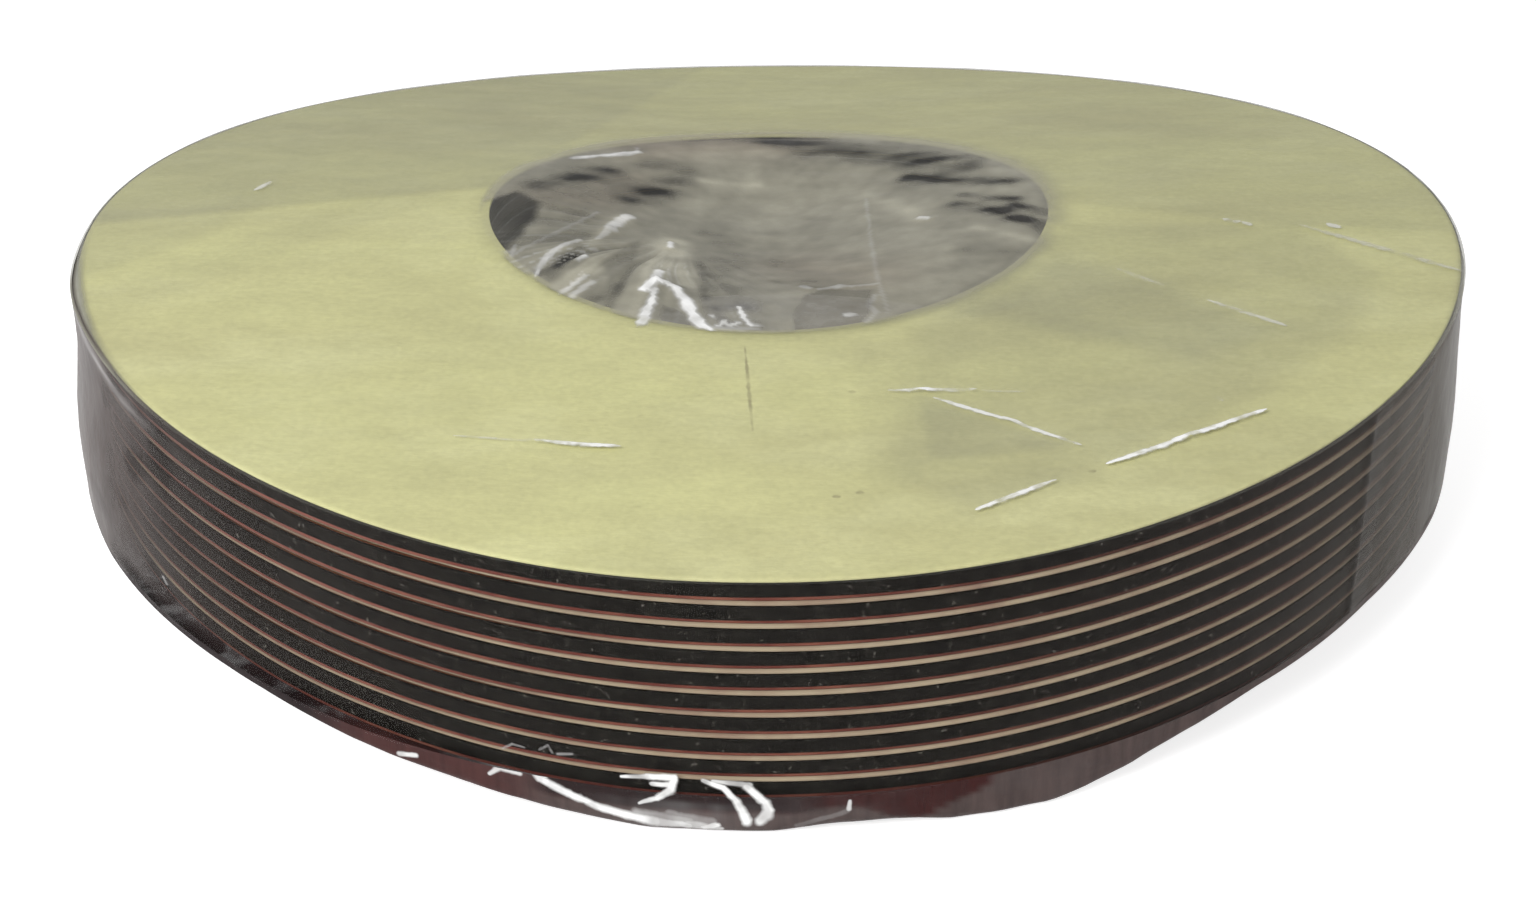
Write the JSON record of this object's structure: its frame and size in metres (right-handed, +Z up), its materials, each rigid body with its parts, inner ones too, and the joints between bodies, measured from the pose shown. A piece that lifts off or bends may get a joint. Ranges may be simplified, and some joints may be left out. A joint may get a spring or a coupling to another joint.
{
  "type": "copper foil tape roll pack",
  "caption": "Flat stack of narrow copper foil tape rolls with black outer turns, a pale yellow card on each, one shared bore, wrapped in clear film that opens at the top.",
  "frame": {"origin": "on the surface the pack rests on, under the middle of the rolls' bore", "axes": "+Z up along the bore, the way the film and the rolls lift; the stack droops towards +Y and -Y"},
  "size_m": [0.1832, 0.1832, 0.039],
  "materials": {
    "core_plastic": "matt black",
    "copper_foil": "slit copper edges",
    "black_backing": "satin black",
    "yellow_card": "uncoated card",
    "clear_film": "clear gloss"
  },
  "bodies": {
    "pack_base": {"film_base": "clear_film", "film_sleeve": "clear_film", "film_seam": "clear_film", "core_10": "core_plastic", "winding_10": "copper_foil", "outer_turn_10": "black_backing", "card_10": "yellow_card"},
    "roll_09": {"core_09": "core_plastic", "winding_09": "copper_foil", "outer_turn_09": "black_backing", "card_09": "yellow_card"},
    "roll_08": {"core_08": "core_plastic", "winding_08": "copper_foil", "outer_turn_08": "black_backing", "card_08": "yellow_card"},
    "roll_07": {"core_07": "core_plastic", "winding_07": "copper_foil", "outer_turn_07": "black_backing", "card_07": "yellow_card"},
    "roll_06": {"core_06": "core_plastic", "winding_06": "copper_foil", "outer_turn_06": "black_backing", "card_06": "yellow_card"},
    "roll_05": {"core_05": "core_plastic", "winding_05": "copper_foil", "outer_turn_05": "black_backing", "card_05": "yellow_card"},
    "roll_04": {"core_04": "core_plastic", "winding_04": "copper_foil", "outer_turn_04": "black_backing", "card_04": "yellow_card"},
    "roll_03": {"core_03": "core_plastic", "winding_03": "copper_foil", "outer_turn_03": "black_backing", "card_03": "yellow_card"},
    "roll_02": {"core_02": "core_plastic", "winding_02": "copper_foil", "outer_turn_02": "black_backing", "card_02": "yellow_card"},
    "roll_01": {"core_01": "core_plastic", "winding_01": "copper_foil", "outer_turn_01": "black_backing", "card_01": "yellow_card"},
    "film_lid": {"film_top": "clear_film"}
  },
  "joints": [
    {"name": "roll_09_lift", "type": "slide", "parent": "pack_base", "child": "roll_09", "axis": [0, 0, 1], "range_m": [0, 0.03]},
    {"name": "roll_08_lift", "type": "slide", "parent": "roll_09", "child": "roll_08", "axis": [0, 0, 1], "range_m": [0, 0.03]},
    {"name": "roll_07_lift", "type": "slide", "parent": "roll_08", "child": "roll_07", "axis": [0, 0, 1], "range_m": [0, 0.03]},
    {"name": "roll_06_lift", "type": "slide", "parent": "roll_07", "child": "roll_06", "axis": [0, 0, 1], "range_m": [0, 0.03]},
    {"name": "roll_05_lift", "type": "slide", "parent": "roll_06", "child": "roll_05", "axis": [0, 0, 1], "range_m": [0, 0.03]},
    {"name": "roll_04_lift", "type": "slide", "parent": "roll_05", "child": "roll_04", "axis": [0, 0, 1], "range_m": [0, 0.03]},
    {"name": "roll_03_lift", "type": "slide", "parent": "roll_04", "child": "roll_03", "axis": [0, 0, 1], "range_m": [0, 0.03]},
    {"name": "roll_02_lift", "type": "slide", "parent": "roll_03", "child": "roll_02", "axis": [0, 0, 1], "range_m": [0, 0.03]},
    {"name": "roll_01_lift", "type": "slide", "parent": "roll_02", "child": "roll_01", "axis": [0, 0, 1], "range_m": [0, 0.03]},
    {"name": "film_lid_lift", "type": "slide", "parent": "roll_01", "child": "film_lid", "axis": [0, 0, 1], "range_m": [0, 0.03]}
  ]
}
